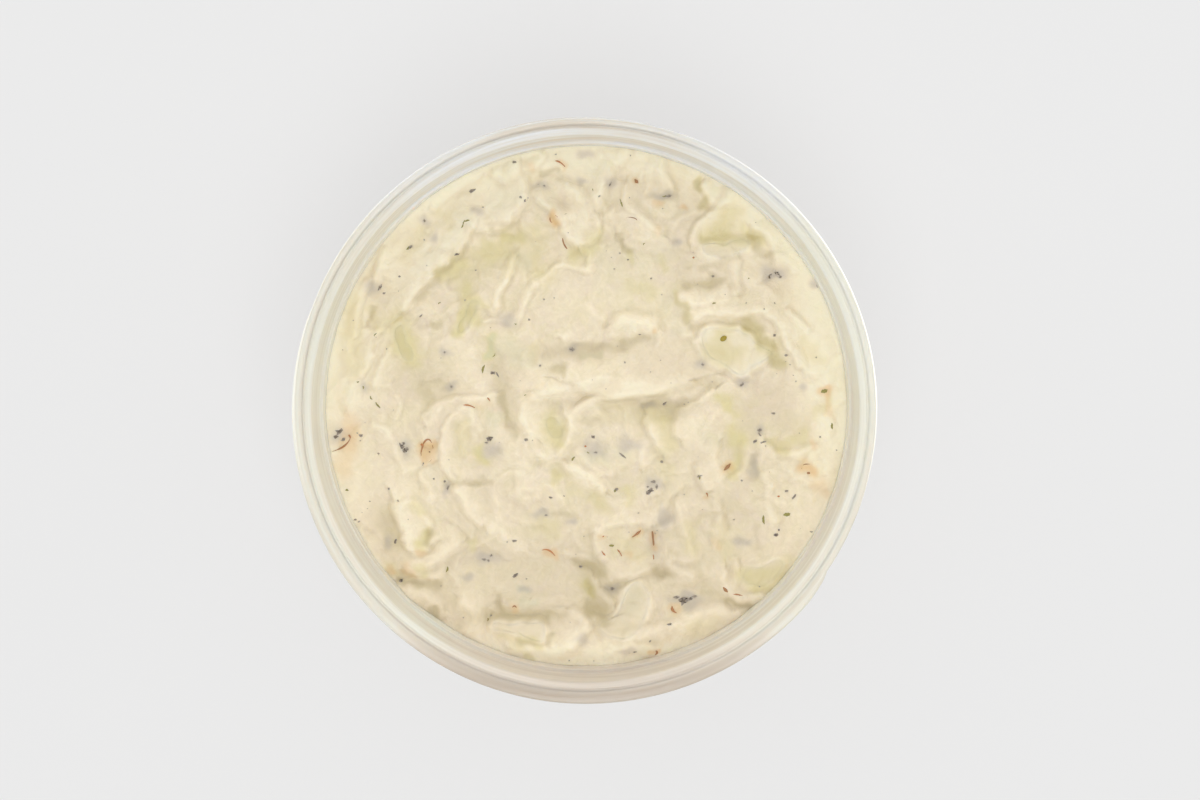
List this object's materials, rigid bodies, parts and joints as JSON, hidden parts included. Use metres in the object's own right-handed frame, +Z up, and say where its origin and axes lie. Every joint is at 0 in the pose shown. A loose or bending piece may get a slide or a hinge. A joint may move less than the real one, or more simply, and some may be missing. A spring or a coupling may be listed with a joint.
{
  "type": "tzatziki dip in a round tub",
  "caption": "Tub of tzatziki: folded strained yoghurt with cucumber shreds in an open round milky-clear deli tub with a snap rim.",
  "frame": {"origin": "middle of the tub's foot ring, on the surface that it stands on", "axes": "+Z up out of the open mouth; +X to the right and +Y away from a person looking down into the tub"},
  "size_m": [0.117, 0.117, 0.046],
  "materials": {
    "tub": "milky-clear moulded polypropylene, thin, satin inside and glossier on the rim",
    "yoghurt": "thick strained yoghurt, cream white, soft and slightly translucent, low gloss",
    "cucumber": "wet pale-green cucumber flesh under a thin coat of yoghurt"
  },
  "bodies": {
    "root": {"tub": "tub", "dip": "yoghurt", "cucumber_right": "cucumber", "cucumber_bottom": "cucumber", "cucumber_bottom_left": "cucumber", "cucumber_upper_right": "cucumber", "cucumber_lower_right": "cucumber", "cucumber_left": "cucumber", "cucumber_upper_left": "cucumber", "cucumber_centre": "cucumber"}
  },
  "joints": []
}
